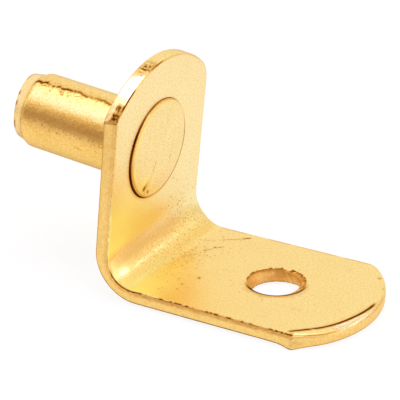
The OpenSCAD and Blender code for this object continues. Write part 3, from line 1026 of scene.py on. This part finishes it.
def laid_sheet(name, glow_share):
    """One sheet over the whole floor. Most of its light is its own, so a shadow on it stays pale."""
    mesh = bpy.data.meshes.new(name)
    points = [(x * MM, y * MM, z * MM) for x, z in zip(sheet_x, sheet_z) for y in (-floor_half, floor_half)]
    mesh.from_pydata(points, [], [(2 * i, 2 * i + 2, 2 * i + 3, 2 * i + 1) for i in range(len(sheet_x) - 1)])
    mesh.shade_smooth()
    sheet = new_object(name, mesh)
    material, tree = new_material(name)
    tree.nodes.clear()
    out = add_node(tree, "ShaderNodeOutputMaterial")
    mix = add_node(tree, "ShaderNodeMixShader", {"Fac": glow_share})
    lit = add_node(tree, "ShaderNodeBsdfDiffuse", {"Color": (0.9, 0.9, 0.9)})
    glow = add_node(tree, "ShaderNodeEmission", {"Color": (1, 1, 1)})
    put(tree, mix, {1: lit.outputs[0], 2: glow.outputs[0]})
    put(tree, out, {"Surface": mix.outputs[0]})
    mesh.materials.append(material)
    return sheet, tree, glow


def add_ramp(tree, value, stops):
    """Colours along a value, each at its place from 0 to 1."""
    ramp = add_node(tree, "ShaderNodeValToRGB", {0: value})
    for i, (at, tone) in enumerate(stops):
        stop = ramp.color_ramp.elements[i] if i < 2 else ramp.color_ramp.elements.new(0.99)
        stop.position = at
        stop.color = (*tone, 1)
    return ramp.outputs[0]


def split_place(tree, place):
    """The three parts of a place or a direction."""
    return add_node(tree, "ShaderNodeSeparateXYZ", {0: place}).outputs


def paint_gel_glow(tree, glow):
    """The gel's painted glow colours, and a painted shadow that dims them behind and under the pin."""
    at = split_place(tree, add_node(tree, "ShaderNodeNewGeometry").outputs["Position"])
    tones = add_ramp(tree, between(tree, at["Y"], -gel_half * MM, gel_half * MM), gel_tones)
    under_pin = between(tree, at["X"], 0, -4 * MM)
    behind = between(tree, at["Y"], -3 * MM, 5 * MM)
    dimmed = blend(tree, maths(tree, "MULTIPLY", under_pin, behind), tones, gel_painted_shadow)
    put(tree, glow, {"Color": dimmed})


floor, *_ = laid_sheet("paper_floor", paper_glow)
gel, *gel_light = laid_sheet("glowing_reflection_gel", gel_glow)
paint_gel_glow(*gel_light)
floor.location.z = -gel_lift * MM
gel.visible_camera = gel.visible_diffuse = gel.visible_shadow = False

# ---------------------------------------------------------------------------------------------
# Light
# A white room, and in it a cloth tent all round the bracket, dark on the near side, with a wide
# soft box overhead and some smaller ones. It lights the bracket and the paper and shows in the
# metal, and the camera looks in through it.

tent_radius = 4  # metres
tent_strength = 2.0
# Bands of the cloth, by how far they are turned up from the near side, in degrees
bands = [
    (-180, (1, 1, 1)), (-11, (0.98, 0.76, 0.48)), (-1, (0.22, 0.06, 0.005)), (12, (0.10, 0.015, 0.0)),
    (24, (0.52, 0.25, 0.03)), (42, (0.92, 0.62, 0.16)), (50, (1.2, 1.12, 0.6)), (60, (1.75, 1.95, 3.5)),
    (76, (1.7, 1.8, 3.0)), (86, (1.0, 1.05, 1.1)), (109, (0.95, 0.95, 0.9)), (111, (0.25, 0.15, 0.06)),
    (122, (0.06, 0.03, 0.01)), (126, (0.8, 0.65, 0.42)), (132, (1.03, 1.02, 0.95)), (144, (1.03, 1.03, 0.98)),
    (152, (0.99, 0.975, 0.93)),
]
# Round patches and soft boxes: which way they lie, the angles where they start and end fading, colour
patches = [
    ((-1, 0.1, 0.1), 48, 58, (1.08, 0.97, 0.80)),
    ((0.5, 0.4, 0.77), 20, 32, (1.1, 1.02, 0.62)),
    ((0.64, 0.76, 0.0), 16, 28, (0.90, 0.57, 0.24)),
    ((0.0, 0.79, 0.61), 8, 20, (1.0, 0.82, 0.48)),
    ((0.41, 0.79, 0.46), 2, 7, (0.84, 0.72, 0.54)),
    ((0.60, 0.58, 0.55), 1, 6, (5.0, 5.0, 5.0)),
    ((-0.255, 0.716, 0.648), 3, 5, (2.4, 2.4, 2.4)),
    ((0.96, 0.19, 0.15), 8, 24, (2.6, 2.6, 2.6)),
    ((-0.1, 0.08, 1.0), 12, 26, (3.0, 3.0, 3.0)),
]

world = bpy.data.worlds.new("white_room")
bpy.context.scene.world = world
world.use_nodes = True
world.node_tree.nodes.clear()
room_out = add_node(world.node_tree, "ShaderNodeOutputWorld")
room = add_node(world.node_tree, "ShaderNodeBackground", {"Color": (1, 1, 1)})
put(world.node_tree, room_out, {"Surface": room.outputs[0]})

bm = bmesh.new()
bmesh.ops.create_icosphere(bm, subdivisions=3, radius=tent_radius)
tent_mesh = bpy.data.meshes.new("light_tent")
bm.to_mesh(tent_mesh)
bm.free()
tent = new_object("light_tent", tent_mesh)
tent.visible_camera = False
cloth, tree = new_material("tent_cloth")
tent_mesh.materials.append(cloth)


def cloth_colour(colour):
    """A colour before the tent's strength brightens it."""
    return tuple(c / tent_strength for c in colour)


def facing(direction, inner, outer):
    """1 inside a cone round a direction, 0 outside it, soft between the two angles in degrees."""
    sockets = {0: look, 1: Vector(direction).normalized()}
    dot = add_node(tree, "ShaderNodeVectorMath", sockets, operation="DOT_PRODUCT").outputs["Value"]
    return between(tree, dot, cos(radians(outer)), cos(radians(inner)), step="SMOOTHERSTEP")


tree.nodes.clear()
tent_out = add_node(tree, "ShaderNodeOutputMaterial")
glow = add_node(tree, "ShaderNodeEmission", {"Strength": tent_strength})
put(tree, tent_out, {"Surface": glow.outputs[0]})
place = add_node(tree, "ShaderNodeNewGeometry").outputs["Position"]
look = add_node(tree, "ShaderNodeVectorMath", {0: place}, operation="NORMALIZE").outputs["Vector"]
_, look_y, look_z = split_place(tree, look)
turn = maths(tree, "ARCTAN2", look_z, maths(tree, "MULTIPLY", look_y, -1))
stops = [((angle + 180) / 360, cloth_colour(colour)) for angle, colour in bands]
tint = add_ramp(tree, between(tree, turn, -pi, pi), stops)
for direction, inner, outer, colour in patches:
    tint = blend(tree, facing(direction, inner, outer), tint, cloth_colour(colour))
put(tree, glow, {"Color": tint})

# ---------------------------------------------------------------------------------------------
# Camera
# A long lens in front of the bracket, to its right and above it, that looks down on both legs.

eye = Vector((62.837, -109.909, 60.491)) * MM
aim = Matrix((  # its right, up and back directions, one in each column
    (0.8625983, -0.29496202, 0.41100071),
    (0.49876698, 0.36001324, -0.78843007),
    (0.08459123, 0.88509202, 0.45766412),
))
camera = new_object("camera", bpy.data.cameras.new("camera"))
camera.data.sensor_width = 36
camera.data.lens = 155.36
camera.data.clip_start = 0.001
camera.data.clip_end = 10
camera.matrix_world = Matrix.Translation(eye) @ aim.to_4x4()
bpy.context.scene.camera = camera
bpy.context.scene.view_settings.view_transform = "Standard"
